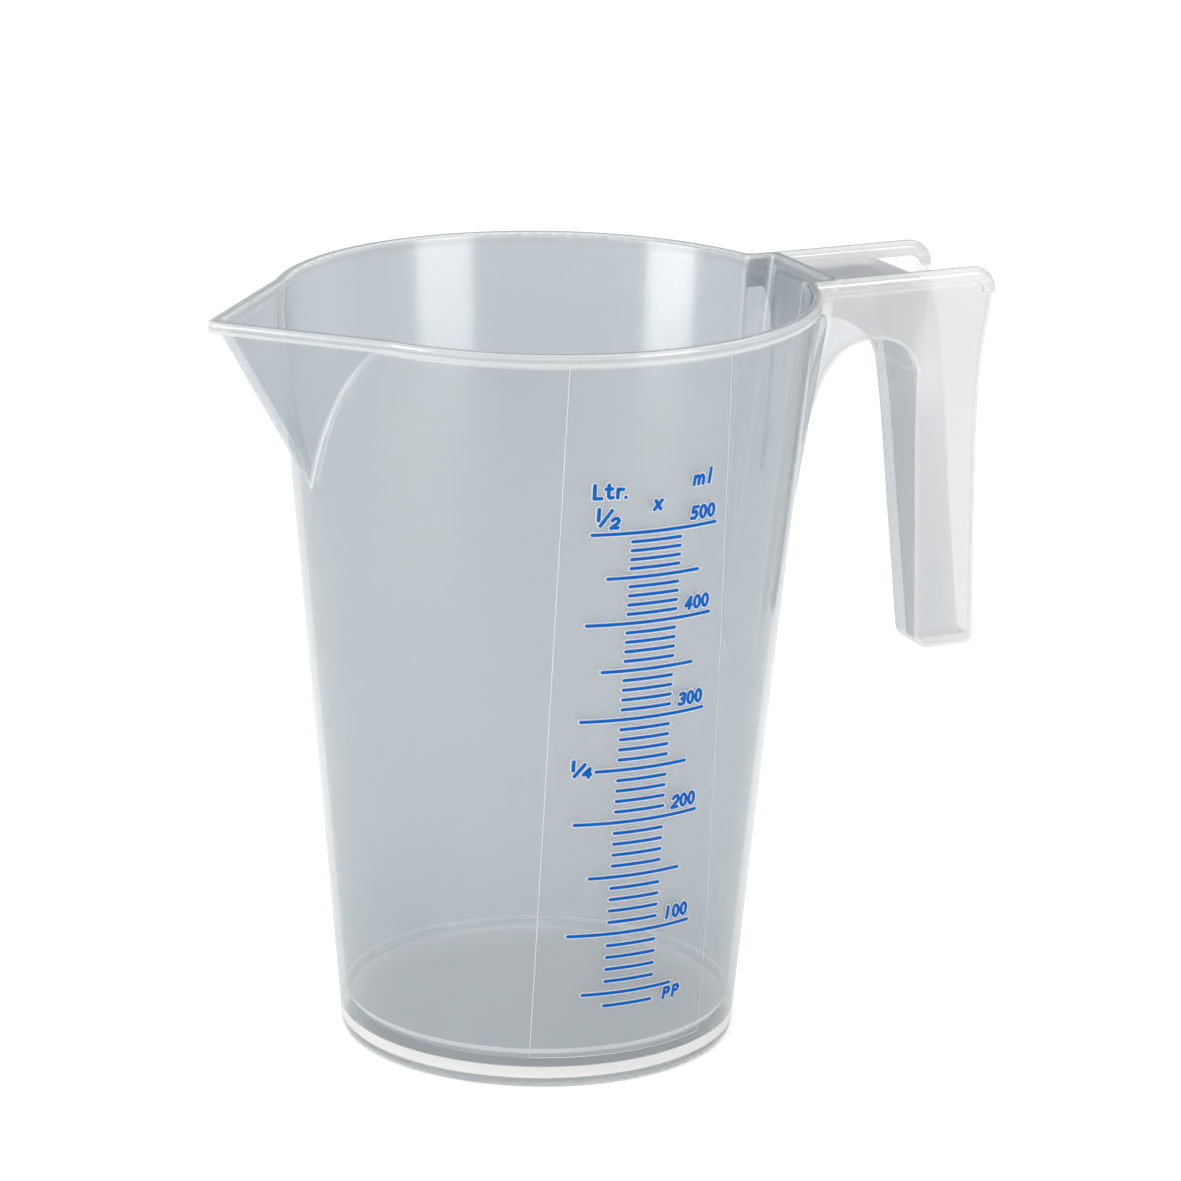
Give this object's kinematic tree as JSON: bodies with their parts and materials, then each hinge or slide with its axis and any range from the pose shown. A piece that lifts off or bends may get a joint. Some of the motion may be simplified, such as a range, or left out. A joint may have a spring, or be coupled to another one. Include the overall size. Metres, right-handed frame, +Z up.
{
  "type": "measuring jug",
  "caption": "Conical translucent half-litre measuring jug with a V spout, an open hook handle and a printed millilitre scale.",
  "frame": {"origin": "on the vessel's axis at the plane it stands on", "axes": "+Z up along the vessel's axis, +X from the axis towards the handle, -X towards the spout, -Y towards the printed scale"},
  "size_m": [0.1533, 0.0984, 0.1382],
  "materials": {
    "polypropylene": "translucent natural polypropylene, semi-gloss",
    "scale_ink": "blue hot-stamped ink"
  },
  "bodies": {
    "root": {"vessel": "polypropylene", "handle": "polypropylene", "scale_beds": "polypropylene", "ink_10ml_lines": "scale_ink", "ink_50ml_lines": "scale_ink", "ink_100ml_lines": "scale_ink", "ink_numerals": "scale_ink", "ink_millilitre_sign": "scale_ink", "ink_litre_sign": "scale_ink", "ink_half_litre_sign": "scale_ink", "ink_quarter_litre_sign": "scale_ink", "ink_cross_mark": "scale_ink", "ink_material_sign": "scale_ink"}
  },
  "joints": []
}
